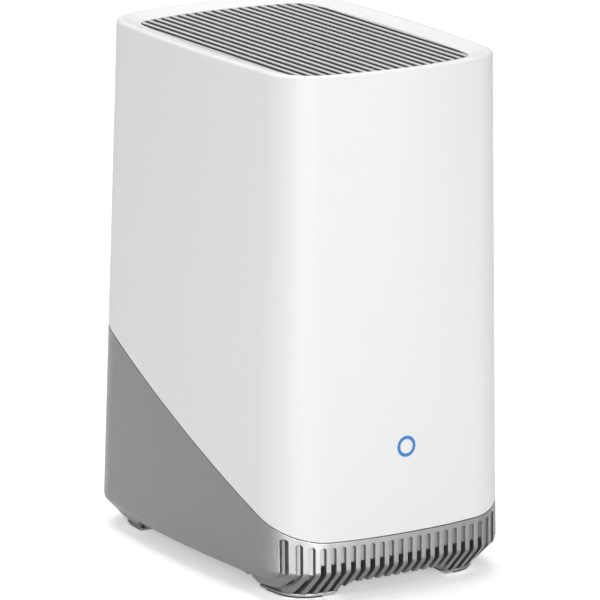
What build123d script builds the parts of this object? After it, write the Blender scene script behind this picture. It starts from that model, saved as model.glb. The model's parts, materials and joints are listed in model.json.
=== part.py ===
from build123d import *
import math
import os

os.makedirs("parts", exist_ok=True)

# Whole body, with the floor at Z = 0, the front at -Y and the sockets at +Y
body_height = 181.5
bend_height = 10.3
base_half_width = 49.75
base_half_depth = 67.7
top_half_width = 45.9
top_half_depth = 65.15
base_corner_radius = 20.0
top_corner_radius = 16.2
side_bow_radius = 534.0
base_front_bow = 290.0
top_front_bow = 140.0
bevel_share = 0.95
overrun = 6.0

# Seam between the white shell and the grey base, seen from the side
front_seam_height = 21.0
rear_seam_height = 72.5
seam_start_depth = 67.0
seam_slope_share = 0.433
seam_radius = 8.0
seam_gap = 0.4
tongue_gap = 0.25
tongue_wall = 1.5
tongue_rise = 4.0
tongue_root = 2.6

# White shell
shell_wall = 2.4
rim_width = 2.2
rim_radius = 1.3
grille_drop = 1.7
grille_inset = 8.5
bezel_wall = 2.2

# Screws that join the shell to the base
post_x = 30.0
post_y = 50.0
post_radius = 3.6
post_length = 30.0
post_web = 1.8
sleeve_radius = 4.0
front_sleeve_top = 31.0
rear_sleeve_top = 74.5
web_gap = 0.6
post_gap = 0.3
screw_radius = 1.45
screw_clearance = 0.05
screw_head_radius = 2.9
screw_head_height = 2.0
screw_recess = 4.0
screw_length = 34.0

# Grey base
base_wall = 3.2
belly_height = 6.0
belly_wall = 2.5
bend_radius = 2.6
pad_height = 0.6
plate_top = 1.5
foot_depth = 14.0
tooth_height = 4.9
foot_near_x = 25.8
foot_far_x = 18.8
foot_inner_y = 36.0
foot_rise_y = 31.2
foot_end_y = 38.2
foot_end_high = 3.4
foot_end_low = 1.9
foot_toe_y = 40.2
pad_inset = 0.5
pad_gap = 1.2

# Comb of air slots in the base, one rib every pitch
comb_pitch = 3.76
comb_last = 11
slot_width = 2.0
slot_seam_land = 1.9
groove_depth = 1.5
slot_floor_inset = 8.0
open_rise = 0.9
open_slope = 2.2
open_depth = 4.2
closed_drop = 2.6
closed_first = 9
rear_slot_rise = 1.6
rear_first = 6

# Top grille
grille_gap = 0.15
grille_pitch = 3.65
grille_pairs = 10
grille_end_depth = 1.3
grille_slot = 1.4
grille_border = 1.7
grille_flange = 2.0
grille_flange_wall = 1.2
grille_bar_width = 1.6
grille_bar_y = 21.0
grille_bar_height = 1.4
grille_edge = 0.3
screen_wall = 0.4
screen_inset = 1.5

# Status light in the front wall
light_height = 51.4
light_radius = 3.65
light_band = 1.1
light_gap = 0.06
light_flange_radius = 5.2
light_flange_wall = 1.4
light_board_gap = 0.9
light_board_wall = 1.2
light_board_width = 20.0
light_board_height = 16.0
led_size = 1.6
led_height = 0.7
led_offset = 3.1

# Inner frame
frame_wall = 2.0
frame_x = 11.0
frame_rear = 56.0
frame_front = 52.0
frame_floor_wall = 2.4
frame_floor_left = 34.0
frame_floor_depth = 42.0
frame_floor_rise = 3.5
frame_boss_radius = 3.2
frame_screw_inset = 5.0
frame_top = 158.0
frame_top_wall = 2.5
frame_top_gap = 2.0
frame_neck = 12.0
frame_gusset = 16.0
frame_gusset_y = 40.0
upright_wall = 2.0

# Main board and what stands on it
board_wall = 1.6
board_gap = 2.0
board_front = 40.0
board_rear = 62.0
board_low = 16.0
board_high = 140.0
board_hole_inset = 5.0
board_hole_rear_inset = 17.0
board_screw_radius = 1.2
board_head_radius = 2.4
board_head_height = 1.6
standoff_radius = 3.2
processor_size = 19.0
processor_height = 1.5
processor_y = -6.0
processor_z = 84.0
thermal_pad_height = 1.0
sink_size = 48.0
sink_base = 2.6
sink_fin_height = 13.0
sink_fins = 10
sink_fin_wall = 1.1
sink_pin_radius = 1.5
sink_pin_head = 2.6
sink_pin_inset = 4.0
memory_width = 9.0
memory_height = 1.1
memory_length = 13.0
memory_step = 17.0
memory_y = 36.0
can_width = 22.0
can_length = 30.0
can_height = 2.6
can_edge = 0.8
can_z = 120.0
can_y = 22.0
capacitor_radius = 3.2
capacitor_height = 7.5
capacitor_step = 9.0
capacitor_y = 34.0
capacitor_z = 22.0

# Sockets and button in the rear wall
pocket_y = 65.6
pocket_low = 14.0
pocket_high = 70.2
pocket_left = 9.0
pocket_right = 10.2
pocket_radius = 3.0
socket_set_back = 0.2
socket_gap = 0.3
lan_z = 52.0
lan_width = 16.0
lan_height = 13.5
lan_length = 21.2
lan_mouth_width = 11.9
lan_mouth_height = 7.0
lan_mouth_depth = 15.0
lan_key_width = 6.0
lan_key_height = 2.2
usb_z = 35.0
usb_width = 13.4
usb_height = 7.2
usb_length = 14.0
usb_wall = 0.5
usb_depth = 10.5
usb_tongue_wall = 1.9
usb_tongue_width = 11.0
usb_tongue_back = 0.8
power_z = 21.0
power_width = 9.0
power_height = 11.0
power_length = 14.2
power_bore_radius = 3.1
power_bore_depth = 10.0
power_pin_radius = 1.05
power_pin_back = 1.0
button_z = 65.0
button_radius = 3.4
button_gap = 0.3
button_flange = 0.9
button_flange_wall = 1.4
button_proud = 0.5
button_stem_radius = 1.4
button_edge = 0.5
switch_y = 53.0
switch_depth = 4.5
switch_width = 7.0
plunger_radius = 1.7
plunger_length = 2.2
plunger_gap = 0.3
plunger_seat = 1.2

# Drive bay, open at the bottom
bay_gap = 0.4
bay_left = 14.0
bay_right = 31.4
tray_front = -39.7
tray_rear = 35.7
tray_wall = 1.6
tray_rail = 2.2
tray_top = 111.0
tray_window_size = 17.0
tray_window_rib = 15.0
tray_window_radius = 4.0
tray_window_rows = 2
cage_wall = 1.0
cage_low = 17.2
cage_high = 117.5
cover_left = 13.2
cover_right = 33.2
cover_front = -43.0
cover_rear = 45.4
cover_wall = 2.4
cover_radius = 3.0
cover_gap = 0.4
cover_boss_radius = 5.0
cover_boss_rise = 2.0
cover_grip_width = 14.0
cover_grip_length = 6.0
cover_grip_depth = 1.2
lock_x = 22.0
lock_y = 40.6
lock_head_radius = 3.4
lock_head_height = 2.4
lock_recess = 0.4
lock_slot = 1.2
lock_slot_depth = 1.1
lock_shank_radius = 1.5
lock_shank_length = 7.5
lock_gap = 0.15
lock_boss_radius = 4.2
lock_boss_height = 6.0
insert_radius = 2.5
connector_length = 42.0
connector_width = 6.0
connector_height = 6.5
bridge_wall = 1.6
bridge_half_length = 31.0

# Speaker under the grille
speaker_x = -14.0
speaker_flange_radius = 27.0
speaker_flange_wall = 1.5
speaker_mouth_radius = 23.2
speaker_seat_gap = 0.5
speaker_depth = 13.5
speaker_neck_radius = 15.5
speaker_wall = 1.2
magnet_radius = 16.5
magnet_height = 8.0
yoke_radius = 14.0
yoke_height = 2.0
cone_radius = 18.4
cone_neck_radius = 8.0
cone_wall = 0.6
cone_drop = 8.5
dome_rise = 3.2
surround_width = 4.0
surround_rim = 1.4
surround_wall = 0.6
coil_radius = 7.6
coil_wall = 0.7
speaker_screw_radius = 1.1
speaker_screw_circle = 25.5
speaker_screw_length = 5.0
speaker_head_radius = 1.4

# Strip antennas on the inner frame
antenna_length = 34.0
antenna_width = 8.0
antenna_wall = 0.8
antenna_y = 31.0
antenna_z = 149.0

UPRIGHT = (Align.CENTER, Align.CENTER, Align.MIN)


def height_share(height):
    """How far up the tapered wall a height is, from 0 at the bend to 1 at the top."""
    return max(0, (height - bend_height) / (body_height - bend_height))


def half_sizes(height):
    """Half the width and half the depth of the outside at one height."""
    share = height_share(height)
    half_width = base_half_width + (top_half_width - base_half_width) * share
    half_depth = base_half_depth + (top_half_depth - base_half_depth) * share
    return half_width, half_depth


def plan_circles(height, inset=0):
    """Centres and radii of the side, front and corner arcs of the plan outline, in its +X +Y quarter."""
    half_width, half_depth = half_sizes(height)
    share = height_share(height)
    side = side_bow_radius - inset
    front = 1 / ((1 - share) / base_front_bow + share / top_front_bow) - inset
    corner = base_corner_radius + (top_corner_radius - base_corner_radius) * share - inset
    side_centre = Vector(half_width - inset - side, 0)
    front_centre = Vector(0, half_depth - inset - front)
    between = front_centre - side_centre
    reach_side, reach_front = side - corner, front - corner
    along = (reach_side**2 - reach_front**2 + between.length**2) / (2 * between.length)
    across = math.sqrt(reach_side**2 - along**2)
    unit = between.normalized()
    corner_centre = side_centre + unit * along + Vector(-unit.Y, unit.X) * across
    return (side_centre, side), (front_centre, front), (corner_centre, corner)


def plan_section(height, inset=0):
    """The plan outline at one height as a flat face: bowed sides with round corners."""
    (side_centre, side), (front_centre, front), (corner_centre, corner) = plan_circles(height, inset)
    side_end = side_centre + (corner_centre - side_centre).normalized() * side
    front_end = front_centre + (corner_centre - front_centre).normalized() * front
    middle = corner_centre + ((side_end + front_end) * 0.5 - corner_centre).normalized() * corner
    side_peak, front_peak = side_centre.X + side, front_centre.Y + front
    with BuildSketch(Plane.XY.offset(height)) as section:
        with BuildLine():
            for x_sign, y_sign in ((1, 1), (-1, 1), (-1, -1), (1, -1)):
                turn = x_sign * y_sign
                ends = (side_end, front_end) if turn > 0 else (front_end, side_end)
                first, last = (Vector(p.X * x_sign, p.Y * y_sign) for p in ends)
                ThreePointArc(first, Vector(middle.X * x_sign, middle.Y * y_sign), last)
                if turn > 0:
                    ThreePointArc(last, Vector(0, front_peak * y_sign), Vector(-last.X, last.Y))
                else:
                    ThreePointArc(last, Vector(side_peak * x_sign, 0), Vector(last.X, -last.Y))
        make_face()
    return section.sketch


def bevel_section(height, inset=0):
    """The plan outline below the bend, where the bevel draws it in as it comes down."""
    return plan_section(bend_height, inset + bevel_share * (bend_height - height)).moved(
        Location((0, 0, height - bend_height))
    )


def wall_depth_at(x, height, inset=0):
    """Distance from the middle to the front or rear wall at one X."""
    _, (front_centre, front), (corner_centre, corner) = plan_circles(height, inset)
    front_end = front_centre + (corner_centre - front_centre).normalized() * front
    if abs(x) <= front_end.X:
        return front_centre.Y + math.sqrt(front**2 - x**2)
    return corner_centre.Y + math.sqrt(corner**2 - (abs(x) - corner_centre.X) ** 2)


def wall_width_at(y, height, inset=0):
    """Distance from the middle to a side wall at one Y."""
    (side_centre, side), _, _ = plan_circles(height, inset)
    return side_centre.X + math.sqrt(side**2 - y**2)


def body_block(low, high, inset=0, mode=Mode.ADD):
    """The body's own outline, drawn in by the inset, from one height to another."""
    loft([plan_section(low, inset), plan_section(high, inset)], ruled=True, mode=mode)


def bevel_block(low, inset=0, mode=Mode.ADD):
    """The bevelled foot of the body from one height up to the bend."""
    loft([bevel_section(low, inset), plan_section(bend_height, inset)], ruled=True, mode=mode)


def seam_section(lift, above=True):
    """The side view of what lies above, or below, the seam, moved up by the lift."""
    foot = Vector(-seam_start_depth, front_seam_height + lift)
    rise = rear_seam_height - front_seam_height
    head = foot + Vector(rise / seam_slope_share, rise)
    front_far, rear_far = -base_half_depth - overrun, base_half_depth + overrun
    limit = body_height + overrun if above else -overrun
    with BuildSketch(Plane.YZ) as section:
        with BuildLine():
            edge = FilletPolyline(
                (front_far, foot.Y), (foot.X, foot.Y), (head.X, head.Y),
                (rear_far, head.Y), radius=seam_radius
            )
            Polyline(edge @ 1, (rear_far, limit), (front_far, limit), edge @ 0)
        make_face()
    return section.sketch


def seam_height_at(y):
    """Height of the seam where the wall stands at one Y."""
    angle = math.atan(seam_slope_share)
    start = -seam_start_depth - seam_radius * math.tan(angle / 2)
    end = -seam_start_depth + seam_radius * math.tan(angle / 2) * math.cos(angle)
    if y < start:
        return front_seam_height
    if y < end:
        return front_seam_height + seam_radius - math.sqrt(seam_radius**2 - (y - start) ** 2)
    return front_seam_height + (y + seam_start_depth) * seam_slope_share


def block(x_ends, y_ends, z_ends, mode=Mode.ADD):
    """A box between two X, two Y and two Z places."""
    middle = [sum(ends) / 2 for ends in (x_ends, y_ends, z_ends)]
    with Locations(tuple(middle)):
        Box(*(ends[1] - ends[0] for ends in (x_ends, y_ends, z_ends)), mode=mode)


def rod(place, axis, radius, length, mode=Mode.ADD):
    """A round bar that starts at a place and runs along an axis."""
    with Locations(Plane(origin=place, z_dir=axis)):
        Cylinder(radius, length, align=UPRIGHT, mode=mode)


def bore(place, axis, radius, length):
    """A round hole that starts at a place and runs along an axis."""
    rod(place, axis, radius, length, mode=Mode.SUBTRACT)


def write(piece, label):
    """Names a finished piece and writes its file."""
    piece.part.label = label
    export_step(piece.part, f"parts/{label}.step")


post_places = [
    (x * post_x, y * post_y, front_sleeve_top if y < 0 else rear_sleeve_top) for x in (-1, 1) for y in (-1, 1)
]
ceiling_height = body_height - grille_drop - bezel_wall
grille_height = body_height - grille_drop
cavity_floor = belly_height + belly_wall
light_wall_y = -wall_depth_at(0, light_height)
board_face = frame_x - board_gap - board_wall
boss_low = belly_height + cover_wall + cover_boss_rise + cover_gap / 2
frame_floor = cavity_floor + frame_floor_rise
frame_screw_places = [
    (-frame_floor_left + frame_screw_inset, -frame_floor_depth + frame_screw_inset),
    (-frame_floor_left + frame_screw_inset, frame_floor_depth - frame_screw_inset),
    (0, -frame_floor_depth - frame_neck),
]
speaker_screw_places = [
    (
        speaker_x + speaker_screw_circle * math.cos(math.radians(turn)),
        speaker_screw_circle * math.sin(math.radians(turn)),
    )
    for turn in (45, 135, 225, 315)
]

# White outer shell: a tapered sleeve with a rolled rim and a sunk bezel
with BuildPart() as outer_shell:
    body_block(front_seam_height, body_height)
    fillet(outer_shell.edges().group_by(Axis.Z)[-1], rim_radius)
    body_block(front_seam_height - overrun, ceiling_height, inset=shell_wall, mode=Mode.SUBTRACT)
    bezel_run = (grille_inset - rim_width) / grille_drop
    lift = rim_width / bezel_run / 2
    loft(
        [
            plan_section(grille_height, grille_inset),
            plan_section(body_height + lift, rim_width - bezel_run * lift),
        ],
        ruled=True,
        mode=Mode.SUBTRACT,
    )
    extrude(plan_section(grille_height, grille_inset), amount=-bezel_wall - overrun, mode=Mode.SUBTRACT)
    # Screw posts, each tied to the side wall by a web
    for x, y, top in post_places:
        web_low = tongue_rise + (
            seam_height_at(y + post_web) + web_gap if y < 0 else rear_seam_height
        )
        web_end = math.copysign(wall_width_at(y, top + post_length, shell_wall / 2), x)
        with Locations((x, y, top + post_gap)):
            Cylinder(post_radius, post_length, align=UPRIGHT)
            Cylinder(screw_radius + screw_clearance, screw_length, align=UPRIGHT, mode=Mode.SUBTRACT)
        near = x + math.copysign((post_radius + screw_radius) / 2, x)
        block(sorted((near, web_end)), (y - post_web / 2, y + post_web / 2), (web_low, top + post_length))
    extrude(
        seam_section(seam_gap / 2, above=False),
        amount=base_half_width + overrun, both=True, mode=Mode.SUBTRACT
    )
    # Hole for the status light
    bore(
        (0, light_wall_y - overrun, light_height), (0, 1, 0), light_radius + light_gap, 2 * overrun
    )

# Lip on the base that stands up behind the seam
with BuildPart() as base_tongue:
    body_block(
        front_seam_height - overrun, rear_seam_height + overrun + tongue_rise,
        inset=shell_wall + tongue_gap
    )
    body_block(
        front_seam_height - 2 * overrun,
        rear_seam_height + 2 * overrun + tongue_rise,
        inset=shell_wall + tongue_gap + tongue_wall,
        mode=Mode.SUBTRACT,
    )
    extrude(seam_section(tongue_rise, above=True), amount=base_half_width, both=True, mode=Mode.SUBTRACT)
    extrude(seam_section(-tongue_root, above=False), amount=base_half_width, both=True, mode=Mode.SUBTRACT)


def slot_cutter(x, top, near, far, sign):
    """One upright air slot with a round top, cut along Y on one end of the body."""
    with BuildPart() as cutter:
        with BuildSketch(Plane.XZ.offset(-sign * near)):
            with Locations((x, top - slot_width / 2)):
                Circle(slot_width / 2)
            with Locations((x, (top - slot_width / 2 + plate_top) / 2)):
                Rectangle(slot_width, top - slot_width / 2 - plate_top)
        extrude(amount=-sign * (far - near))
    return cutter.part


def comb_places(first, last):
    """Slot middles on both sides of the centre line, from one slot to another, counted from the middle."""
    return [side * (place + 0.5) * comb_pitch for place in range(first, last + 1) for side in (-1, 1)]


# Front slots: shallow grooves on the wall that open through below the bend
with BuildPart() as front_comb:
    for x in comb_places(0, closed_first - 1):
        top = seam_height_at(-wall_depth_at(x, front_seam_height)) - slot_seam_land
        add(slot_cutter(x, top, foot_inner_y, base_half_depth + overrun, -1))
    slope_top = bend_height + open_rise + open_slope
    body_block(slope_top, front_seam_height + overrun, inset=groove_depth, mode=Mode.SUBTRACT)
    loft(
        [plan_section(bend_height + open_rise, open_depth), plan_section(slope_top, groove_depth)],
        ruled=True,
        mode=Mode.SUBTRACT,
    )
    extrude(
        plan_section(belly_height, slot_floor_inset),
        amount=bend_height + open_rise - belly_height,
        mode=Mode.SUBTRACT,
    )

# The outer slots stay shut a little way down the bevel
with BuildPart() as corner_comb:
    for x in comb_places(closed_first, comb_last):
        top = seam_height_at(-wall_depth_at(x, front_seam_height)) - slot_seam_land
        add(slot_cutter(x, top, foot_inner_y, base_half_depth + overrun, -1))
    body_block(bend_height, front_seam_height + 2 * overrun, inset=groove_depth, mode=Mode.SUBTRACT)
    bevel_block(bend_height - closed_drop, inset=groove_depth, mode=Mode.SUBTRACT)
    extrude(
        plan_section(belly_height, slot_floor_inset),
        amount=bend_height - belly_height,
        mode=Mode.SUBTRACT,
    )

# Rear slots, only through the two feet
with BuildPart() as rear_comb:
    for x in comb_places(rear_first, comb_last):
        add(slot_cutter(x, bend_height + rear_slot_rise, foot_inner_y, base_half_depth + overrun, 1))
    extrude(
        plan_section(belly_height, slot_floor_inset),
        amount=bend_height + rear_slot_rise - belly_height,
        mode=Mode.SUBTRACT,
    )

# Arches under the belly, which leave the four feet standing
with BuildPart() as arches:
    with BuildSketch(Plane.XZ):
        with BuildLine():
            left = TangentArc((-foot_near_x, 0), (-foot_far_x, tooth_height), tangent=(1, 0))
            right = TangentArc((foot_near_x, 0), (foot_far_x, tooth_height), tangent=(-1, 0))
            Line(left @ 1, right @ 1)
            Polyline(left @ 0, (-foot_near_x, -overrun), (foot_near_x, -overrun), right @ 0)
        make_face()
    extrude(amount=base_half_depth + overrun, both=True)
    with BuildSketch(Plane.YZ):
        with BuildLine():
            for side in (-1, 1):
                high = TangentArc(
                    (side * foot_rise_y, belly_height), (side * foot_end_y, foot_end_high), tangent=(side, 0)
                )
                low = TangentArc(
                    (side * foot_toe_y, 0), (side * foot_end_y, foot_end_low), tangent=(-side, 0)
                )
                Line(high @ 1, low @ 1)
                Line(low @ 0, (side * foot_toe_y, -overrun))
            Line((-foot_rise_y, belly_height), (foot_rise_y, belly_height))
            Line((-foot_toe_y, -overrun), (foot_toe_y, -overrun))
        make_face()
    extrude(amount=base_half_width + overrun, both=True)
    extrude(plan_section(bend_height, foot_depth).moved(Location((0, 0, -bend_height))), amount=belly_height)

# Grey lower housing: bevelled, ribbed base with feet and the rear socket wall
with BuildPart() as lower_housing:
    extrude(bevel_section(plate_top), amount=pad_height - plate_top)
    bevel_block(plate_top)
    body_block(bend_height, rear_seam_height)
    bend_edges = lower_housing.edges().filter_by(
        lambda edge: abs(edge.center().Z - bend_height) < seam_gap and edge.bounding_box().size.Z < seam_gap
    )
    fillet(bend_edges, bend_radius)
    extrude(seam_section(-seam_gap / 2), amount=base_half_width + overrun, both=True, mode=Mode.SUBTRACT)
    bevel_block(cavity_floor, inset=base_wall, mode=Mode.SUBTRACT)
    body_block(bend_height, rear_seam_height + overrun, inset=base_wall, mode=Mode.SUBTRACT)
    add(base_tongue.part)
    add(arches.part, mode=Mode.SUBTRACT)
    add(front_comb.part, mode=Mode.SUBTRACT)
    add(corner_comb.part, mode=Mode.SUBTRACT)
    add(rear_comb.part, mode=Mode.SUBTRACT)
    # Sleeves for the shell's screws, with deep mouths at the rear
    for x, y, top in post_places:
        recess = screw_recess + top - front_sleeve_top
        with Locations((x, y, belly_height)):
            Cylinder(sleeve_radius, top - belly_height, align=UPRIGHT)
            Cylinder(screw_radius + lock_gap, top, align=UPRIGHT, mode=Mode.SUBTRACT)
            Cylinder(screw_head_radius + lock_gap, recess, align=UPRIGHT, mode=Mode.SUBTRACT)
    for x, y in frame_screw_places:
        rod((x, y, cavity_floor), (0, 0, 1), frame_boss_radius, frame_floor_rise)
        bore((x, y, cavity_floor), (0, 0, 1), board_screw_radius + light_gap, frame_floor_rise)
    # Mouth of the drive bay and the boss that its lock screws into
    with BuildSketch(Plane.XY.offset(belly_height - overrun / 2)):
        with Locations(((cover_left + cover_right) / 2, (cover_front + cover_rear) / 2)):
            RectangleRounded(
                cover_right - cover_left + 2 * cover_gap,
                cover_rear - cover_front + 2 * cover_gap,
                cover_radius + cover_gap,
            )
    extrude(amount=overrun / 2 + belly_wall, mode=Mode.SUBTRACT)
    with BuildSketch(Plane.XY.offset(boss_low)):
        with Locations((lock_x, lock_y)):
            Circle(lock_boss_radius)
        with Locations((lock_x, (lock_y + cover_rear) / 2 + sleeve_radius / 2)):
            Rectangle(lock_boss_radius, cover_rear - lock_y + sleeve_radius)
    extrude(amount=lock_boss_height)
    with BuildSketch(Plane.XY.offset(cavity_floor - belly_wall / 2)):
        with Locations((lock_x, cover_rear + cover_gap + sleeve_radius / 2)):
            Rectangle(lock_boss_radius, sleeve_radius)
    extrude(amount=boss_low + lock_boss_height - cavity_floor + belly_wall / 2)
    with Locations((lock_x, lock_y, boss_low)):
        Cylinder(insert_radius, lock_boss_height, align=UPRIGHT, mode=Mode.SUBTRACT)
    # Sunk pocket with the socket and button openings
    with BuildSketch(Plane.XZ.offset(-pocket_y)):
        with Locations(((pocket_right - pocket_left) / 2, (pocket_low + pocket_high) / 2)):
            RectangleRounded(pocket_left + pocket_right, pocket_high - pocket_low, pocket_radius)
    extrude(amount=-overrun, mode=Mode.SUBTRACT)
    with BuildSketch(Plane.XZ.offset(-pocket_y)):
        with Locations((board_face - lan_height / 2, lan_z)):
            Rectangle(lan_height + 2 * socket_gap, lan_width + 2 * socket_gap)
        with Locations((board_face - usb_height / 2, usb_z)):
            Rectangle(usb_height + 2 * socket_gap, usb_width + 2 * socket_gap)
        with Locations((board_face - power_height / 2, power_z)):
            Rectangle(power_height + 2 * socket_gap, power_width + 2 * socket_gap)
        with Locations((board_face - lan_height / 2, button_z)):
            Circle(button_radius + button_gap)
    extrude(amount=overrun / 2, mode=Mode.SUBTRACT)


# Rubber pads under the four feet
with BuildPart() as foot_pads:
    extrude(bevel_section(plate_top, pad_inset).moved(Location((0, 0, -plate_top))), amount=pad_height)
    extrude(
        plan_section(bend_height, foot_depth - pad_inset).moved(Location((0, 0, -bend_height))),
        amount=pad_height,
        mode=Mode.SUBTRACT,
    )
    block(
        (-foot_near_x - pad_gap, foot_near_x + pad_gap), (-base_half_depth, base_half_depth), (0, pad_height),
        mode=Mode.SUBTRACT,
    )
    block(
        (-base_half_width, base_half_width), (-foot_toe_y - pad_gap, foot_toe_y + pad_gap), (0, pad_height),
        mode=Mode.SUBTRACT,
    )

# Slatted grille that sits in the bezel from below
grille_low = ceiling_height - grille_flange_wall
grille_places = [(side * (pair + 0.5) * grille_pitch, 0) for pair in range(grille_pairs) for side in (-1, 1)]
with BuildPart() as top_grille:
    extrude(plan_section(grille_height, grille_inset + grille_gap), amount=grille_low - grille_height)
    extrude(
        plan_section(grille_height, grille_inset - grille_flange).moved(
            Location((0, 0, ceiling_height - grille_height))
        ),
        amount=-grille_flange_wall,
    )
    with BuildSketch(Plane.XY.offset(grille_height)):
        with Locations(*grille_places):
            Rectangle(grille_slot, 2 * top_half_depth)
        add(
            plan_section(grille_height, grille_inset + grille_gap + grille_border).moved(
                Location((0, 0, -grille_height))
            ),
            mode=Mode.INTERSECT,
        )
    extrude(amount=grille_low - grille_height, mode=Mode.SUBTRACT)
    # Upper part of each slot, which runs out at both ends
    with BuildSketch(Plane.XY.offset(grille_height)):
        with Locations(*grille_places):
            Rectangle(grille_slot, 2 * top_half_depth)
    extrude(amount=-grille_end_depth, mode=Mode.SUBTRACT)
    chamfer(top_grille.edges().group_by(Axis.Z)[-1].filter_by(Axis.Y), grille_edge)
    bar_end = grille_pairs * grille_pitch
    for y in (-grille_bar_y, grille_bar_y):
        block(
            (-bar_end, bar_end),
            (y - grille_bar_width / 2, y + grille_bar_width / 2),
            (grille_low, grille_low + grille_bar_height),
        )

# Thin dust screen under the grille
with BuildPart() as dust_screen:
    extrude(
        plan_section(grille_height, grille_inset + screen_inset).moved(
            Location((0, 0, grille_low - grille_height))
        ),
        amount=-screen_wall,
    )

# Status light: a clear ring through the front wall, its middle, its lamps and their board
light_flange_y = light_wall_y + shell_wall + light_gap * 2
light_plug_radius = light_radius - light_band - light_gap
with BuildPart() as light_ring:
    rod(
        (0, light_wall_y - overrun, light_height), (0, 1, 0),
        light_radius, light_flange_y - light_wall_y + overrun
    )
    body_block(light_height - 2 * light_radius, light_height + 2 * light_radius, mode=Mode.INTERSECT)
    rod((0, light_flange_y, light_height), (0, 1, 0), light_flange_radius, light_flange_wall)
    rod(
        (0, light_wall_y - overrun, light_height),
        (0, 1, 0),
        light_radius - light_band,
        light_flange_y - light_wall_y + overrun,
        mode=Mode.SUBTRACT,
    )
with BuildPart() as light_middle:
    rod(
        (0, light_wall_y - overrun, light_height), (0, 1, 0), light_plug_radius,
        light_flange_y - light_wall_y + overrun,
    )
    body_block(light_height - 2 * light_radius, light_height + 2 * light_radius, mode=Mode.INTERSECT)
light_board_y = light_flange_y + light_flange_wall + light_board_gap
light_board_ends = (light_board_y, light_board_y + light_board_wall)
light_screw_x = light_board_width / 2 - board_head_radius
with BuildPart() as light_board:
    block(
        (-light_board_width / 2, light_board_width / 2),
        light_board_ends,
        (light_height - light_board_height / 2, light_height + light_board_height / 2),
    )
    for x in (-light_screw_x, light_screw_x):
        bore(
            (x, light_board_y - overrun, light_height), (0, 1, 0), board_screw_radius + light_gap, 2 * overrun
        )
with BuildPart() as status_lamps:
    for z in (light_height - led_offset, light_height + led_offset):
        block(
            (-led_size / 2, led_size / 2),
            (light_board_y - led_height, light_board_y),
            (z - led_size / 2, z + led_size / 2),
        )

# Inner frame: floor, upright wall beside the drive bay, speaker deck and a post for the light board
board_holes = [
    (y, z)
    for y in (-board_front + board_hole_inset, board_rear - board_hole_rear_inset)
    for z in (board_low + board_hole_inset, board_high - board_hole_inset)
]
deck_top = frame_top + frame_top_wall
with BuildPart() as inner_frame:
    block(
        (-frame_floor_left, frame_x),
        (-frame_floor_depth, frame_floor_depth),
        (frame_floor, frame_floor + frame_floor_wall),
    )
    block(
        (-frame_neck, frame_neck),
        (light_board_ends[1], -frame_floor_depth),
        (frame_floor, frame_floor + frame_floor_wall),
    )
    block(
        (-frame_neck, frame_neck),
        (light_board_ends[1], light_board_ends[1] + upright_wall),
        (frame_floor, light_height + light_board_height / 2),
    )
    block((frame_x, frame_x + frame_wall), (-frame_front, frame_rear), (cavity_floor, frame_top))
    extrude(
        plan_section(frame_top, shell_wall + frame_top_gap),
        amount=frame_top_wall,
    )
    for y in (-frame_gusset_y, frame_gusset_y):
        with BuildSketch(Plane.XZ.offset(-y - frame_wall / 2)):
            with BuildLine():
                Polyline(
                    (frame_x, frame_top), (frame_x - frame_gusset, frame_top),
                    (frame_x, frame_top - frame_gusset),
                    close=True,
                )
            make_face()
        extrude(amount=frame_wall)
    bore(
        (speaker_x, 0, frame_top), (0, 0, 1), speaker_mouth_radius + speaker_seat_gap, frame_top_wall
    )
    for x, y in speaker_screw_places:
        bore((x, y, frame_top), (0, 0, 1), speaker_screw_radius + light_gap, frame_top_wall)
    for y, z in board_holes:
        rod((frame_x, y, z), (-1, 0, 0), standoff_radius, board_gap)
        bore(
            (frame_x - board_gap, y, z), (1, 0, 0), board_screw_radius + light_gap, board_gap + frame_wall
        )
    for x, y in frame_screw_places:
        bore((x, y, frame_floor), (0, 0, 1), board_screw_radius + lock_gap, frame_floor_wall)
    for x in (-light_screw_x, light_screw_x):
        bore(
            (x, light_board_ends[1], light_height), (0, 1, 0), board_screw_radius + light_gap, upright_wall
        )

# Main board with its processor, cooling block, memory, radio covers and capacitors
sink_face = board_face - processor_height - thermal_pad_height
sink_pin_places = [
    (
        processor_y + side * (sink_size / 2 - sink_pin_inset),
        processor_z - side * (sink_size / 2 - sink_pin_inset),
    )
    for side in (-1, 1)
]
with BuildPart() as main_board:
    with BuildSketch(Plane.YZ.offset(board_face)):
        with Locations(((board_rear - board_front) / 2, (board_low + board_high) / 2)):
            RectangleRounded(board_front + board_rear, board_high - board_low, board_wall)
        with Locations(*board_holes):
            Circle(board_screw_radius + lock_gap, mode=Mode.SUBTRACT)
        with Locations(*sink_pin_places):
            Circle(sink_pin_radius + light_gap, mode=Mode.SUBTRACT)
    extrude(amount=board_wall)
with BuildPart() as processor:
    block(
        (board_face - processor_height, board_face),
        (processor_y - processor_size / 2, processor_y + processor_size / 2),
        (processor_z - processor_size / 2, processor_z + processor_size / 2),
    )
    chamfer(processor.faces().sort_by(Axis.X)[0].edges(), processor_height / 5)
with BuildPart() as thermal_pad:
    with BuildSketch(Plane.YZ.offset(sink_face)):
        with Locations((processor_y, processor_z)):
            RectangleRounded(processor_size, processor_size, thermal_pad_height)
    extrude(amount=thermal_pad_height)
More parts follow.
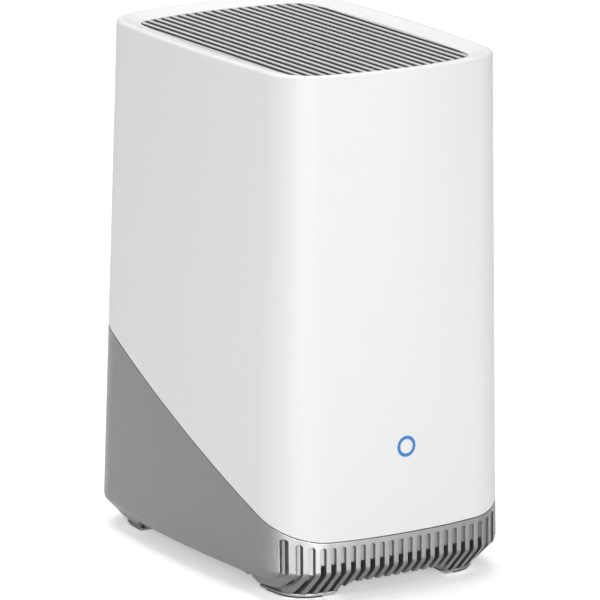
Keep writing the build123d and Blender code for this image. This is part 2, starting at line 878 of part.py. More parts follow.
with BuildPart() as heat_sink:
    fin_step = (sink_size - sink_fin_wall) / (sink_fins - 1)
    block(
        (sink_face - sink_base, sink_face),
        (processor_y - sink_size / 2, processor_y + sink_size / 2),
        (processor_z - sink_size / 2, processor_z + sink_size / 2),
    )
    with BuildSketch(Plane.YZ.offset(sink_face - sink_base)):
        with Locations((processor_y, processor_z)):
            with GridLocations(fin_step, 0, sink_fins, 1):
                Rectangle(sink_fin_wall, sink_size)
    extrude(amount=-sink_fin_height)
    for y, z in sink_pin_places:
        bore(
            (sink_face - sink_base, y, z), (-1, 0, 0), sink_pin_head + sink_pin_radius, sink_fin_height
        )
        bore((sink_face, y, z), (-1, 0, 0), sink_pin_radius + light_gap, sink_base)
with BuildPart() as sink_pins:
    for y, z in sink_pin_places:
        rod(
            (sink_face - sink_base, y, z), (1, 0, 0), sink_pin_radius,
            frame_x - sink_face + sink_base - socket_gap
        )
        rod((sink_face - sink_base, y, z), (-1, 0, 0), sink_pin_head, sink_pin_radius)
with BuildPart() as memory_chips:
    with BuildSketch(Plane.YZ.offset(board_face)):
        with Locations((memory_y, processor_z)):
            with GridLocations(0, memory_step, 1, 2):
                Rectangle(memory_width, memory_length)
    extrude(amount=-memory_height)
with BuildPart() as radio_covers:
    for y in (-can_y, can_y):
        block(
            (board_face - can_height, board_face),
            (y - can_length / 2, y + can_length / 2),
            (can_z - can_width / 2, can_z + can_width / 2),
        )
    chamfer(radio_covers.faces().filter_by(Axis.X).group_by(Axis.X)[0].edges(), can_edge)
with BuildPart() as capacitors:
    for step in range(3):
        rod(
            (board_face, capacitor_y - step * capacitor_step, capacitor_z), (-1, 0, 0), capacitor_radius,
            capacitor_height,
        )

# Network, storage and power sockets
mouth_y = pocket_y - socket_set_back
lan_middle = board_face - lan_height / 2
with BuildPart() as lan_socket:
    block(
        (board_face - lan_height, board_face),
        (mouth_y - lan_length, mouth_y),
        (lan_z - lan_width / 2, lan_z + lan_width / 2),
    )
    with BuildSketch(Plane.XZ.offset(-mouth_y)):
        with Locations((lan_middle + lan_key_height / 2, lan_z)):
            Rectangle(lan_mouth_height, lan_mouth_width)
        with Locations((lan_middle - lan_mouth_height / 2, lan_z)):
            Rectangle(lan_key_height, lan_key_width)
    extrude(amount=lan_mouth_depth, mode=Mode.SUBTRACT)
with BuildPart() as usb_socket:
    block(
        (board_face - usb_height, board_face), (mouth_y - usb_length, mouth_y),
        (usb_z - usb_width / 2, usb_z + usb_width / 2)
    )
    block(
        (board_face - usb_height + usb_wall, board_face - usb_wall),
        (mouth_y - usb_depth, mouth_y),
        (usb_z - usb_width / 2 + usb_wall, usb_z + usb_width / 2 - usb_wall),
        mode=Mode.SUBTRACT,
    )
with BuildPart() as usb_tongue:
    block(
        (board_face - usb_wall - 2 * usb_tongue_wall, board_face - usb_wall - usb_tongue_wall),
        (mouth_y - usb_depth, mouth_y - usb_tongue_back),
        (usb_z - usb_tongue_width / 2, usb_z + usb_tongue_width / 2),
    )
power_middle = board_face - power_height / 2
with BuildPart() as power_socket:
    block(
        (board_face - power_height, board_face),
        (mouth_y - power_length, mouth_y),
        (power_z - power_width / 2, power_z + power_width / 2),
    )
    bore((power_middle, mouth_y, power_z), (0, -1, 0), power_bore_radius, power_bore_depth)
with BuildPart() as power_pin:
    rod(
        (power_middle, mouth_y - power_bore_depth, power_z), (0, 1, 0), power_pin_radius,
        power_bore_depth - power_pin_back,
    )
    fillet(power_pin.faces().sort_by(Axis.Y)[-1].edges(), power_pin_radius / 2)

# Sync button in the rear wall and the switch that it works
wall_inner = half_sizes(button_z)[1] - base_wall
flange_y = wall_inner - button_gap
with BuildPart() as sync_button:
    rod(
        (lan_middle, flange_y - button_flange_wall, button_z), (0, 1, 0),
        button_radius, pocket_y + button_proud - flange_y + button_flange_wall
    )
    fillet(sync_button.faces().sort_by(Axis.Y)[-1].edges(), button_edge)
    rod((lan_middle, flange_y, button_z), (0, -1, 0), button_radius + button_flange, button_flange_wall)
    stem_length = flange_y - button_flange_wall - switch_y - switch_depth - plunger_length + plunger_seat
    rod((lan_middle, flange_y - button_flange_wall, button_z), (0, -1, 0), button_stem_radius, stem_length)
with BuildPart() as sync_switch:
    block(
        (lan_middle - switch_width / 2, board_face),
        (switch_y, switch_y + switch_depth),
        (button_z - switch_width / 2, button_z + switch_width / 2),
    )
    rod(
        (lan_middle, switch_y + switch_depth, button_z), (0, -1, 0), plunger_radius + lock_gap,
        plunger_seat + 2 * plunger_gap + button_proud, mode=Mode.SUBTRACT,
    )
with BuildPart() as switch_plunger:
    rod(
        (lan_middle, switch_y + switch_depth - plunger_seat, button_z),
        (0, 1, 0), plunger_radius, plunger_length
    )

# Drive bay: sheet metal cage, sliding tray, bottom cover and its captive screw
with BuildPart() as bay_cage:
    block(
        (frame_x + frame_wall, bay_right + bay_gap + cage_wall),
        (tray_front - bay_gap - cage_wall, tray_rear + bay_gap + cage_wall),
        (cage_low, cage_high),
    )
    block(
        (frame_x + frame_wall, bay_right + bay_gap),
        (tray_front - bay_gap, tray_rear + bay_gap),
        (cage_low, cage_high),
        mode=Mode.SUBTRACT,
    )
tray_middle = (tray_front + tray_rear) / 2
with BuildPart() as drive_tray:
    block((bay_left, bay_right), (tray_front, tray_rear), (belly_height + cover_wall, tray_top))
    block(
        (bay_left, bay_right - tray_wall),
        (tray_front + tray_rail, tray_rear - tray_rail),
        (belly_height + cover_wall + tray_wall, tray_top),
        mode=Mode.SUBTRACT,
    )
    with BuildSketch(Plane.YZ.offset(bay_right)):
        window_pitch = (tray_top - belly_height - cover_wall) / tray_window_rows
        with Locations((tray_middle, (tray_top + belly_height + cover_wall) / 2)):
            with GridLocations(tray_window_size + tray_window_rib, window_pitch, 2, tray_window_rows):
                RectangleRounded(tray_window_size, tray_window_size, tray_window_radius)
    extrude(amount=-tray_wall, mode=Mode.SUBTRACT)
with BuildPart() as bay_cover:
    with BuildSketch(Plane.XY.offset(belly_height)):
        with Locations(((cover_left + cover_right) / 2, (cover_front + cover_rear) / 2)):
            RectangleRounded(cover_right - cover_left, cover_rear - cover_front, cover_radius)
    extrude(amount=cover_wall)
    rod(
        (lock_x, lock_y, belly_height + cover_wall), (0, 0, 1),
        cover_boss_radius - cover_gap, cover_boss_rise
    )
    bore(
        (lock_x, lock_y, belly_height), (0, 0, 1),
        lock_head_radius + lock_gap, lock_recess + lock_head_height
    )
    bore(
        (lock_x, lock_y, belly_height), (0, 0, 1),
        lock_shank_radius + lock_gap, cover_wall + cover_boss_rise
    )
    block(
        (
            (cover_left + cover_right - cover_grip_width) / 2,
            (cover_left + cover_right + cover_grip_width) / 2,
        ),
        (cover_front + cover_grip_length, cover_front + 2 * cover_grip_length),
        (belly_height, belly_height + cover_grip_depth),
        mode=Mode.SUBTRACT,
    )
lock_head_top = belly_height + lock_recess + lock_head_height
with BuildPart() as lock_screw:
    rod((lock_x, lock_y, belly_height + lock_recess), (0, 0, 1), lock_head_radius, lock_head_height)
    rod((lock_x, lock_y, lock_head_top), (0, 0, 1), lock_shank_radius, lock_shank_length)
    block(
        (lock_x - lock_head_radius, lock_x + lock_head_radius),
        (lock_y - lock_slot / 2, lock_y + lock_slot / 2),
        (belly_height + lock_recess, belly_height + lock_recess + lock_slot_depth),
        mode=Mode.SUBTRACT,
    )
with BuildPart() as lock_insert:
    rod((lock_x, lock_y, boss_low), (0, 0, 1), insert_radius, lock_boss_height)
    bore((lock_x, lock_y, boss_low), (0, 0, 1), lock_shank_radius + lock_gap, lock_boss_height)
bay_middle = (bay_left + bay_right) / 2
with BuildPart() as bridge_board:
    block(
        (frame_x + frame_wall, bay_right + bay_gap + cage_wall),
        (tray_middle - bridge_half_length, tray_middle + bridge_half_length),
        (cage_high, cage_high + bridge_wall),
    )
with BuildPart() as drive_connector:
    block(
        (bay_middle - connector_width / 2, bay_middle + connector_width / 2),
        (tray_middle - connector_length / 2, tray_middle + connector_length / 2),
        (cage_high - connector_height, cage_high),
    )
    block(
        (bay_middle - connector_width / 4, bay_middle + connector_width / 4),
        (tray_middle - connector_length / 2 + cage_wall, tray_middle + connector_length / 2 - cage_wall),
        (cage_high - connector_height, cage_high - connector_height / 4),
        mode=Mode.SUBTRACT,
    )

# Speaker on the deck, facing the grille
basket_floor = deck_top - speaker_depth
flange_low = deck_top + speaker_seat_gap
speaker_axis = Plane(origin=(speaker_x, 0, 0), x_dir=(1, 0, 0), z_dir=(0, -1, 0))
with BuildPart() as speaker_basket:
    with BuildSketch(speaker_axis):
        with BuildLine():
            Polyline(
                (coil_radius + coil_wall * 2, basket_floor),
                (speaker_neck_radius, basket_floor),
                (speaker_mouth_radius, flange_low),
                (speaker_flange_radius, flange_low),
                (speaker_flange_radius, flange_low + speaker_flange_wall),
                (speaker_mouth_radius - speaker_wall, flange_low + speaker_flange_wall),
                (speaker_neck_radius - speaker_wall, basket_floor + speaker_wall),
                (coil_radius + coil_wall * 2, basket_floor + speaker_wall),
                close=True,
            )
        make_face()
    revolve(axis=Axis((speaker_x, 0, 0), (0, 0, 1)))
    for x, y in speaker_screw_places:
        bore((x, y, flange_low), (0, 0, 1), speaker_screw_radius + light_gap, speaker_flange_wall)
with BuildPart() as speaker_gasket:
    rod((speaker_x, 0, deck_top), (0, 0, 1), speaker_flange_radius, speaker_seat_gap)
    bore((speaker_x, 0, deck_top), (0, 0, 1), speaker_mouth_radius + speaker_seat_gap, speaker_seat_gap)
    for x, y in speaker_screw_places:
        bore((x, y, deck_top), (0, 0, 1), speaker_screw_radius + light_gap, speaker_seat_gap)
with BuildPart() as speaker_magnet:
    rod((speaker_x, 0, basket_floor - magnet_height), (0, 0, 1), magnet_radius, magnet_height)
    rod((speaker_x, 0, basket_floor - magnet_height - yoke_height), (0, 0, 1), yoke_radius, yoke_height)
    bore((speaker_x, 0, basket_floor - magnet_height), (0, 0, 1), coil_radius + 2 * coil_wall, magnet_height)
    rod((speaker_x, 0, basket_floor - magnet_height), (0, 0, 1), coil_radius - 2 * coil_wall, magnet_height)
cone_top = flange_low + speaker_flange_wall + surround_wall
cone_low = cone_top - cone_drop
with BuildPart() as speaker_cone:
    dome_radius = (cone_neck_radius**2 + dome_rise**2) / (2 * dome_rise)
    dome_middle = (
        cone_neck_radius / 2,
        cone_low + dome_rise - dome_radius + math.sqrt(dome_radius**2 - (cone_neck_radius / 2) ** 2),
    )
    with BuildSketch(speaker_axis):
        with BuildLine():
            for drop in (0, cone_wall):
                Line((cone_radius, cone_top - drop), (cone_neck_radius, cone_low - drop))
                ThreePointArc(
                    (cone_neck_radius, cone_low - drop),
                    (dome_middle[0], dome_middle[1] - drop),
                    (0, cone_low + dome_rise - drop),
                )
            Line((cone_radius, cone_top), (cone_radius, cone_top - cone_wall))
            Line((0, cone_low + dome_rise), (0, cone_low + dome_rise - cone_wall))
        make_face()
    revolve(axis=Axis((speaker_x, 0, 0), (0, 0, 1)))
with BuildPart() as speaker_surround:
    roll_end = cone_radius + surround_width
    roll_middle = cone_radius + surround_width / 2
    with BuildSketch(speaker_axis):
        with BuildLine():
            ThreePointArc(
                (cone_radius, cone_top), (roll_middle, cone_top + surround_width / 2), (roll_end, cone_top)
            )
            Polyline(
                (roll_end, cone_top),
                (roll_end + surround_rim, cone_top),
                (roll_end + surround_rim, cone_top - surround_wall),
                (roll_end - surround_wall, cone_top - surround_wall),
                (roll_end - surround_wall, cone_top),
            )
            ThreePointArc(
                (roll_end - surround_wall, cone_top),
                (roll_middle, cone_top + surround_width / 2 - surround_wall),
                (cone_radius + surround_wall, cone_top),
            )
            Polyline(
                (cone_radius + surround_wall, cone_top),
                (cone_radius + surround_wall, cone_top - surround_wall),
                (cone_radius, cone_top - surround_wall),
                (cone_radius, cone_top),
            )
        make_face()
    revolve(axis=Axis((speaker_x, 0, 0), (0, 0, 1)))
with BuildPart() as voice_coil:
    coil_low = basket_floor - magnet_height / 2
    coil_height = cone_low - cone_wall - coil_low
    rod((speaker_x, 0, coil_low), (0, 0, 1), coil_radius + coil_wall / 2, coil_height)
    bore((speaker_x, 0, coil_low), (0, 0, 1), coil_radius - coil_wall / 2, coil_height)

# Strip antennas stuck to the upright wall
with BuildPart() as antennas:
    for y in (-antenna_y, antenna_y):
        block(
            (frame_x + frame_wall, frame_x + frame_wall + antenna_wall),
            (y - antenna_length / 2, y + antenna_length / 2),
            (antenna_z - antenna_width / 2, antenna_z + antenna_width / 2),
        )

# Screws
with BuildPart() as shell_screws:
    for x, y, top in post_places:
        head_low = belly_height + screw_recess + top - front_sleeve_top - screw_head_height
        rod((x, y, head_low), (0, 0, 1), screw_head_radius, screw_head_height)
        rod((x, y, head_low + screw_head_height), (0, 0, 1), screw_radius, screw_length)
with BuildPart() as board_screws:
    for y, z in board_holes:
        rod((board_face, y, z), (-1, 0, 0), board_head_radius, board_head_height)
        rod((board_face, y, z), (1, 0, 0), board_screw_radius, board_wall + board_gap + frame_wall / 2)
with BuildPart() as frame_screws:
    for x, y in frame_screw_places:
        rod((x, y, frame_floor + frame_floor_wall), (0, 0, 1), board_head_radius, board_head_height)
        rod(
            (x, y, frame_floor + frame_floor_wall), (0, 0, -1), board_screw_radius,
            frame_floor_wall + frame_floor_rise - socket_gap,
        )
with BuildPart() as speaker_screws:
    for x, y in speaker_screw_places:
        rod((x, y, flange_low + speaker_flange_wall), (0, 0, 1), speaker_head_radius, speaker_head_radius)
        rod((x, y, flange_low + speaker_flange_wall), (0, 0, -1), speaker_screw_radius, speaker_screw_length)
with BuildPart() as light_board_screws:
    for x in (-light_screw_x, light_screw_x):
        rod((x, light_board_y, light_height), (0, -1, 0), board_screw_radius * 3 / 2, led_height)
        rod(
            (x, light_board_y, light_height), (0, 1, 0),
            board_screw_radius, light_board_wall + upright_wall / 2
        )

for piece, label in (
    (outer_shell, "outer_shell"),
    (lower_housing, "lower_housing"),
    (foot_pads, "foot_pads"),
    (top_grille, "top_grille"),
    (dust_screen, "dust_screen"),
    (light_ring, "status_light_ring"),
    (light_middle, "status_light_middle"),
    (light_board, "status_light_board"),
    (status_lamps, "status_lamps"),
    (inner_frame, "inner_frame"),
    (main_board, "main_board"),
    (processor, "processor"),
    (thermal_pad, "thermal_pad"),
    (heat_sink, "heat_sink"),
    (sink_pins, "heat_sink_pins"),
    (memory_chips, "memory_chips"),
    (radio_covers, "radio_covers"),
    (capacitors, "capacitors"),
    (lan_socket, "network_socket"),
    (usb_socket, "usb_socket"),
    (usb_tongue, "usb_tongue"),
    (power_socket, "power_socket"),
    (power_pin, "power_pin"),
    (sync_button, "sync_button"),
    (sync_switch, "sync_switch"),
    (switch_plunger, "switch_plunger"),
    (bay_cage, "drive_bay_cage"),
    (drive_tray, "drive_tray"),
    (bay_cover, "bay_cover"),
    (lock_screw, "cover_lock_screw"),
    (lock_insert, "lock_insert"),
    (bridge_board, "bridge_board"),
    (drive_connector, "drive_connector"),
    (speaker_basket, "speaker_basket"),
    (speaker_gasket, "speaker_gasket"),
    (speaker_magnet, "speaker_magnet"),
    (speaker_cone, "speaker_cone"),
    (speaker_surround, "speaker_surround"),
    (voice_coil, "voice_coil"),
    (antennas, "strip_antennas"),
    (shell_screws, "shell_screws"),
    (board_screws, "board_screws"),
    (frame_screws, "frame_screws"),
    (speaker_screws, "speaker_screws"),
    (light_board_screws, "light_board_screws"),
):
    write(piece, label)
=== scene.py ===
import json
import math

import bpy
from mathutils import Matrix, Vector

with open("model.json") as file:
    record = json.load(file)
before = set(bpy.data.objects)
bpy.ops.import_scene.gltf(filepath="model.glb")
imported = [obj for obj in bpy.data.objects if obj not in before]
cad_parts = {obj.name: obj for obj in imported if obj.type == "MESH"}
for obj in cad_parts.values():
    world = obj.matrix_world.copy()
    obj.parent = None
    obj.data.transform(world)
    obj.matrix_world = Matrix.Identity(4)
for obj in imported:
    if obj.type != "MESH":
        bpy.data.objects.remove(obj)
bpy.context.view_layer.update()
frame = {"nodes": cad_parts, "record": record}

# Sockets of a mix node, when it mixes colours
MIX_SHARE, MIX_LOW, MIX_HIGH, MIX_RESULT = 0, 6, 7, 2
BEVEL_SAMPLES = 6

# Relief in metres, and noise in features per metre
FINE_RELIEF = 0.0001
MOULD_GRAIN = 3200.0
GRAIN_DETAIL, GRAIN_ROUGH = 3.0, 0.6
GRAINS_PER_PATCH = 12
SHEEN_SPREAD = 0.12


class Shader:
    """A node tree that is written as sums of its sockets."""

    def __init__(self, name):
        self.name = name
        self.material = bpy.data.materials.new(name)
        self.material.use_nodes = True
        self.tree = self.material.node_tree
        self.surface = self.tree.nodes["Principled BSDF"]
        self.own_space = None

    def node(self, kind, settings=None, **values):
        """Adds one node: settings first, then its socket values and links."""
        made = self.tree.nodes.new(kind)
        for key, value in (settings or {}).items():
            setattr(made, key, value)
        for key, value in values.items():
            self.put(made.inputs[key.replace("_", " ")], value)
        return made

    def put(self, target, value):
        """Gives a socket a value or another socket's output."""
        if isinstance(value, Socket):
            self.tree.links.new(value.output, target)
        elif isinstance(value, bpy.types.NodeSocket):
            self.tree.links.new(value, target)
        else:
            target.default_value = value

    def set(self, **values):
        """Sets sockets of the material's surface."""
        for key, value in values.items():
            self.put(self.surface.inputs[key.replace("_", " ")], value)

    def split(self, vector):
        """A vector as three sockets."""
        parts = self.node("ShaderNodeSeparateXYZ", Vector=vector).outputs
        return [Socket(self, parts[axis]) for axis in range(3)]

    def point(self):
        """The place in the object's own space, in metres."""
        if self.own_space is None:
            self.own_space = self.node("ShaderNodeTexCoord").outputs["Object"]
        return self.own_space

    def place(self):
        """The same place as three sockets."""
        return self.split(self.point())

    def facing(self):
        """The surface's own direction, as three sockets."""
        return self.split(self.node("ShaderNodeNewGeometry").outputs["Normal"])

    def noise(self, scale, detail=2.0, rough=0.5, stretch=None):
        """Soft noise between 0 and 1 over the object's own space, drawn out where asked."""
        point = self.point()
        if stretch:
            pull = self.node("ShaderNodeVectorMath", {"operation": "MULTIPLY"})
            self.put(pull.inputs[0], point)
            self.put(pull.inputs[1], stretch)
            point = pull.outputs[0]
        made = self.node(
            "ShaderNodeTexNoise", Vector=point, Scale=scale, Detail=detail, Roughness=rough
        )
        return Socket(self, made.outputs["Fac"])

    def grain(self, scale):
        """The fine uneven noise of moulded and painted surfaces."""
        return self.noise(scale, GRAIN_DETAIL, GRAIN_ROUGH)

    def rounded(self, radius):
        """The surface's direction with its edges softened."""
        made = self.node("ShaderNodeBevel", {"samples": BEVEL_SAMPLES}, Radius=radius)
        return made.outputs["Normal"]

    def blend(self, low, high, share):
        """A colour between two colours."""
        mix = self.node("ShaderNodeMix", {"data_type": "RGBA"})
        self.put(mix.inputs[MIX_SHARE], share)
        self.put(mix.inputs[MIX_LOW], (*low, 1.0))
        self.put(mix.inputs[MIX_HIGH], (*high, 1.0))
        return mix.outputs[MIX_RESULT]

    def bump(self, height, strength, distance=FINE_RELIEF, under=None):
        """Relief from a height, over another direction where one is given."""
        made = self.node("ShaderNodeBump", Height=height, Strength=strength, Distance=distance)
        if under:
            self.put(made.inputs["Normal"], under)
        return made.outputs["Normal"]


class Socket:
    """An output socket that takes part in sums."""

    def __init__(self, shader, output):
        self.shader = shader
        self.output = output

    def math(self, operation, other=None, clamp=False, swap=False):
        """One sum with this value: first, or second where swapped."""
        made = self.shader.node("ShaderNodeMath", {"operation": operation, "use_clamp": clamp})
        first, second = (other, self) if swap else (self, other)
        self.shader.put(made.inputs[0], first)
        if other is not None:
            self.shader.put(made.inputs[1], second)
        return Socket(self.shader, made.outputs[0])

    def __add__(self, other):
        return self.math("ADD", other)

    def __sub__(self, other):
        return self.math("SUBTRACT", other)

    def __rsub__(self, other):
        return self.math("SUBTRACT", other, swap=True)

    def __mul__(self, other):
        return self.math("MULTIPLY", other)

    def __gt__(self, other):
        return self.math("GREATER_THAN", other)

    def __lt__(self, other):
        return self.math("LESS_THAN", other)

    __radd__ = __add__

    def grey(self):
        """The value as a colour."""
        made = self.shader.node("ShaderNodeCombineXYZ", X=self, Y=self, Z=self)
        return made.outputs[0]

    def clamped(self):
        """The value held between 0 and 1."""
        return self.math("MULTIPLY", 1.0, clamp=True)

    def below(self, start, rate):
        """0 above the start, growing at the rate as the value falls, up to 1."""
        return ((start - self) * rate).clamped()

    def wave(self, length):
        """A wave between 0 and 1 along the value, one crest for each length."""
        return (self * (math.tau / length)).math("SINE") * 0.5 + 0.5


def plain(name, colour, rough, metal=0.0, grain=0.0, size=900.0):
    """A moulded, stamped or painted surface with a little uneven sheen."""
    shader = Shader(name)
    cloud = shader.noise(size / GRAINS_PER_PATCH)
    shader.set(
        Base_Color=(*colour, 1.0), Metallic=metal, Roughness=(cloud - 0.5) * SHEEN_SPREAD + rough
    )
    if grain:
        shader.set(Normal=shader.bump(shader.grain(size), grain))
    return shader


def soft_edged(shader, radius):
    """Softens a surface's edges, under the grain of the mould."""
    strength = 0.03
    grain = shader.grain(MOULD_GRAIN)
    shader.set(Normal=shader.bump(grain, strength, under=shader.rounded(radius)))
    return shader


def grey_paint(name):
    """The metallic paint of the lower housing."""
    shader = plain(name, (0.2, 0.2, 0.203), 0.4, metal=0.95, size=MOULD_GRAIN)
    return soft_edged(shader, 0.0003)


def slatted(name):
    """The grille: pale on its bars, with painted shade in near black on the walls of its slots
    and below its top edge.
    """
    shade_from, shade_rate = 0.1796, 2500.0
    steep_from, steep_rate = 0.95, 3.5
    # The second colour is painted shade, for the insides of the slots
    bars, slot_shade_colour = (0.66, 0.66, 0.66), (0.02, 0.02, 0.02)
    shader = soft_edged(plain(name, bars, 0.45, metal=0.3), 0.0002)
    # Painted shade: near black on the steep slot walls and deeper than the top of the bars,
    # where shade falls in the slots
    shade_below_top = shader.place()[2].below(shade_from, shade_rate)
    shade_on_slot_walls = shader.facing()[2].below(steep_from, steep_rate)
    dark = 1.0 - (1.0 - shade_on_slot_walls) * (1.0 - shade_below_top)
    shader.set(Base_Color=shader.blend(bars, slot_shade_colour, dark))
    return shader


def woven(name):
    """Black cloth of crossing threads."""
    pitch, strength, relief = 0.0008, 0.6, 0.0003
    shader = plain(name, (0.02, 0.02, 0.022), 0.85)
    across, along, _ = shader.place()
    shader.set(Normal=shader.bump(across.wave(pitch) * along.wave(pitch), strength, relief))
    return shader


def wound(name, colour):
    """Copper with one fine ridge after another up its height."""
    pitch, strength = 0.00035, 0.35
    shader = plain(name, colour, 0.3, metal=1.0)
    shader.set(Normal=shader.bump(shader.place()[2].wave(pitch), strength))
    return shader


def drawn(name, colour, pull):
    """Metal with fine streaks, from noise that is drawn out along one way."""
    streaks_per_metre, strength = 2600.0, 0.12
    dark_share, bright_share = 0.82, 1.1
    smoothest, spread = 0.24, 0.2
    shader = Shader(name)
    streak = shader.noise(streaks_per_metre, stretch=pull)
    dark, bright = ([part * share for part in colour] for share in (dark_share, bright_share))
    shader.set(
        Base_Color=shader.blend(dark, bright, streak),
        Metallic=1.0,
        Roughness=streak * spread + smoothest,
        Normal=shader.bump(streak, strength),
    )
    return shader


def tracked(name):
    """A circuit board with raised tracks, upright in some areas and level in others."""
    pitch, edge, areas_per_metre = 0.0016, 0.72, 110.0
    strength, relief = 0.3, 0.00005
    lacquer, copper_under = (0.008, 0.075, 0.03), (0.02, 0.15, 0.06)
    shader = plain(name, lacquer, 0.35)
    _, along, height = shader.place()
    area = shader.noise(areas_per_metre)
    level_tracks = (height.wave(pitch) > edge) * (area > 0.5)
    upright_tracks = (along.wave(pitch) > edge) * (area < 0.5)
    tracks = (level_tracks + upright_tracks).clamped()
    shader.set(
        Base_Color=shader.blend(lacquer, copper_under, tracks),
        Normal=shader.bump(tracks, strength, relief),
    )
    return shader


def glowing(name):
    """The blue of the status light, with a weak glow of its own."""
    shader = plain(name, (0.018, 0.15, 0.42), 0.3)
    shader.set(Emission_Color=(0.03, 0.2, 0.6, 1.0), Emission_Strength=0.25)
    return shader


MATERIALS = {
    shader.name: shader.material
    for shader in (
        plain("white_plastic", (0.8, 0.8, 0.8), 0.42, grain=0.04, size=MOULD_GRAIN),
        grey_paint("grey_plastic"),
        slatted("grille"),
        glowing("light_ring"),
        plain("rubber_pads", (0.03, 0.03, 0.03), 0.8, grain=0.25, size=1800.0),
        woven("black_mesh"),
        plain("inner_plastic", (0.05, 0.05, 0.055), 0.5, grain=0.05),
        plain("black_plastic", (0.02, 0.02, 0.02), 0.45, grain=0.06, size=2600.0),
        plain("soft_pad", (0.1, 0.1, 0.11), 0.85, grain=0.5, size=1600.0),
        plain("paper_cone", (0.03, 0.03, 0.03), 0.85, grain=0.3, size=1500.0),
        tracked("circuit_board"),
        plain("chip_black", (0.02, 0.02, 0.022), 0.5, grain=0.12, size=5000.0),
        plain("capacitor_sleeve", (0.03, 0.04, 0.12), 0.3),
        plain("lamp_bodies", (0.9, 0.88, 0.75), 0.4),
        drawn("bare_aluminium", (0.75, 0.76, 0.77), (1, 1, 0.04)),
        drawn("tinned_steel", (0.62, 0.63, 0.64), (1, 0.05, 1)),
        drawn("screw_steel", (0.5, 0.5, 0.51), (1, 1, 0.3)),
        plain("black_steel", (0.02, 0.02, 0.02), 0.35, grain=0.08, size=2400.0),
        plain("magnet_iron", (0.1, 0.1, 0.105), 0.5, metal=0.6, grain=0.15, size=2000.0),
        plain("brass_insert", (0.75, 0.58, 0.28), 0.35, metal=1.0),
        wound("coil_wire", (0.7, 0.36, 0.14)),
        wound("antenna_copper", (0.7, 0.38, 0.18)),
    )
}

# Each piece has its slot's material, and the grille one of its own
slot_of = {item["node"]: item["material_slot"] for item in frame["record"]["subparts"]}
slot_of["top_grille"] = "grille"
for node, thing in frame["nodes"].items():
    thing.data.materials.clear()
    thing.data.materials.append(MATERIALS[slot_of[node]])

# Camera, found from the outline, the ring and the comb in the photograph
TURN, DIP, ROLL = math.radians(33.07), math.radians(14.41), math.radians(0.62)
FOCAL_LENGTH, PICTURE_SIDE = 5825, 600  # pixels
SENSOR_SIDE = 36  # millimetres
EYE_ACROSS, EYE_UP, EYE_BACK, EYE_LIFT = 0.8615, 73.40, 2061.0, 13.0  # units of the fit
FIT_UNIT = 0.0009865  # metres
FAR_CLIP = 50  # metres

Z_AXIS = Vector((0, 0, 1))
forth = Vector((math.sin(TURN), math.cos(TURN), 0))
ahead = forth * math.cos(DIP) - Z_AXIS * math.sin(DIP)
level = Vector((math.cos(TURN), -math.sin(TURN), 0))
above = level.cross(ahead)
across = level * math.cos(ROLL) + above * math.sin(ROLL)
upward = above * math.cos(ROLL) - level * math.sin(ROLL)
eye = across * EYE_ACROSS + upward * EYE_UP - ahead * EYE_BACK + Z_AXIS * EYE_LIFT
eye = eye * FIT_UNIT

camera_data = bpy.data.cameras.new("camera")
camera_data.lens = FOCAL_LENGTH / PICTURE_SIDE * SENSOR_SIDE
camera_data.sensor_width = SENSOR_SIDE
camera_data.clip_end = FAR_CLIP
camera = bpy.data.objects.new("camera", camera_data)
camera.matrix_world = Matrix((
    (across.x, upward.x, -ahead.x, eye.x),
    (across.y, upward.y, -ahead.y, eye.y),
    (across.z, upward.z, -ahead.z, eye.z),
    (0, 0, 0, 1),
))
bpy.context.scene.collection.objects.link(camera)
bpy.context.scene.camera = camera
bpy.context.scene.view_settings.view_transform = "Standard"

# Floor: pale and glowing where it is seen, itself or in a reflection, and duller as a light
FLOOR_HALF = 6
FLOOR_TONE, FLOOR_TONE_SEEN, FLOOR_GLOW = 0.55, 0.85, 0.38
floor_data = bpy.data.meshes.new("floor")
corners = [(x * FLOOR_HALF, y * FLOOR_HALF, 0) for x, y in ((-1, -1), (1, -1), (1, 1), (-1, 1))]
floor_data.from_pydata(corners, [], [(0, 1, 2, 3)])
floor = bpy.data.objects.new("floor", floor_data)
bpy.context.scene.collection.objects.link(floor)
ground = Shader("floor")
path = ground.node("ShaderNodeLightPath").outputs
kinds = ("Is Camera Ray", "Is Glossy Ray", "Is Transmission Ray")
seen = sum(Socket(ground, path[kind]) for kind in kinds).clamped()
tone = seen * (FLOOR_TONE_SEEN - FLOOR_TONE) + FLOOR_TONE
ground.set(Base_Color=tone.grey(), Roughness=0.9, Specular_IOR_Level=0.0)
ground.set(Emission_Color=(seen * FLOOR_GLOW).grey(), Emission_Strength=1.0)

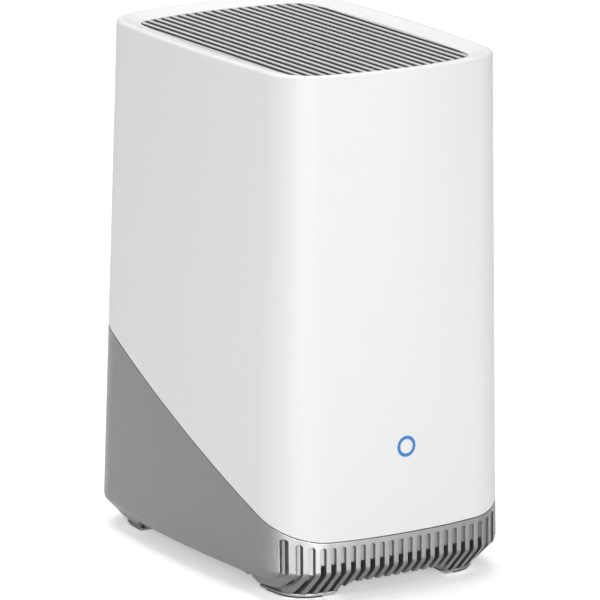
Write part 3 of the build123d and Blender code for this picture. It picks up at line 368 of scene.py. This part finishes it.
# From below the floor is clear, so that the belly and the drawer can be seen
two_sided = ground.node("ShaderNodeMixShader")
is_below, from_above, from_below = two_sided.inputs
ground.put(is_below, ground.node("ShaderNodeNewGeometry").outputs["Backfacing"])
ground.put(from_above, ground.surface.outputs[0])
ground.put(from_below, ground.node("ShaderNodeBsdfTransparent").outputs[0])
ground.put(ground.tree.nodes["Material Output"].inputs["Surface"], two_sided.outputs[0])
floor_data.materials.append(ground.material)

# Lamps: name, place, side in metres, power in watts, and the point that they look at
BODY, COMB = Vector((0, 0, 0.08)), Vector((0, 0, 0.04))
LAMPS = (
    ("key", (-1.15, -1.8, 0.5), 1.0, 26.5, BODY),
    ("top", (0.1, 0.4, 1.5), 1.3, 20, BODY),
    ("left", (-2.0, 0.6, 1.1), 1.4, 6.3, BODY),
    ("right", (0.42, -0.95, 0.22), 0.42, 2.1, COMB),
)
# Low sheets of light in front, which show only as the sheen of the grey housing
SHEENS = (
    ("sheen_front", (-0.1, -1.13, 0.4), 0.8, 52, COMB),
    ("sheen_corner", (-1.0, -0.62, 0.32), 0.56, 25, COMB),
)
WORLD_STRENGTH = 0.25


def lamp(name, place, side, power, aim):
    """A soft square light that looks at a point of the object."""
    data = bpy.data.lights.new(name, "AREA")
    data.shape = "SQUARE"
    data.size = side
    data.energy = power
    lit = bpy.data.objects.new(name, data)
    lit.location = place
    lit.rotation_euler = (aim - Vector(place)).to_track_quat("-Z", "Y").to_euler()
    bpy.context.scene.collection.objects.link(lit)
    return lit


for row in LAMPS:
    lamp(*row)
sheen_on = bpy.data.collections.new("sheen_on")
sheen_on.objects.link(frame["nodes"]["lower_housing"])
for row in SHEENS:
    sheen = lamp(*row)
    sheen.visible_diffuse = False
    sheen.light_linking.receiver_collection = sheen_on

world = bpy.data.worlds.new("world")
bpy.context.scene.world = world
world.use_nodes = True
back = world.node_tree.nodes["Background"]
back.inputs["Color"].default_value = (1, 1, 1, 1)
back.inputs["Strength"].default_value = WORLD_STRENGTH
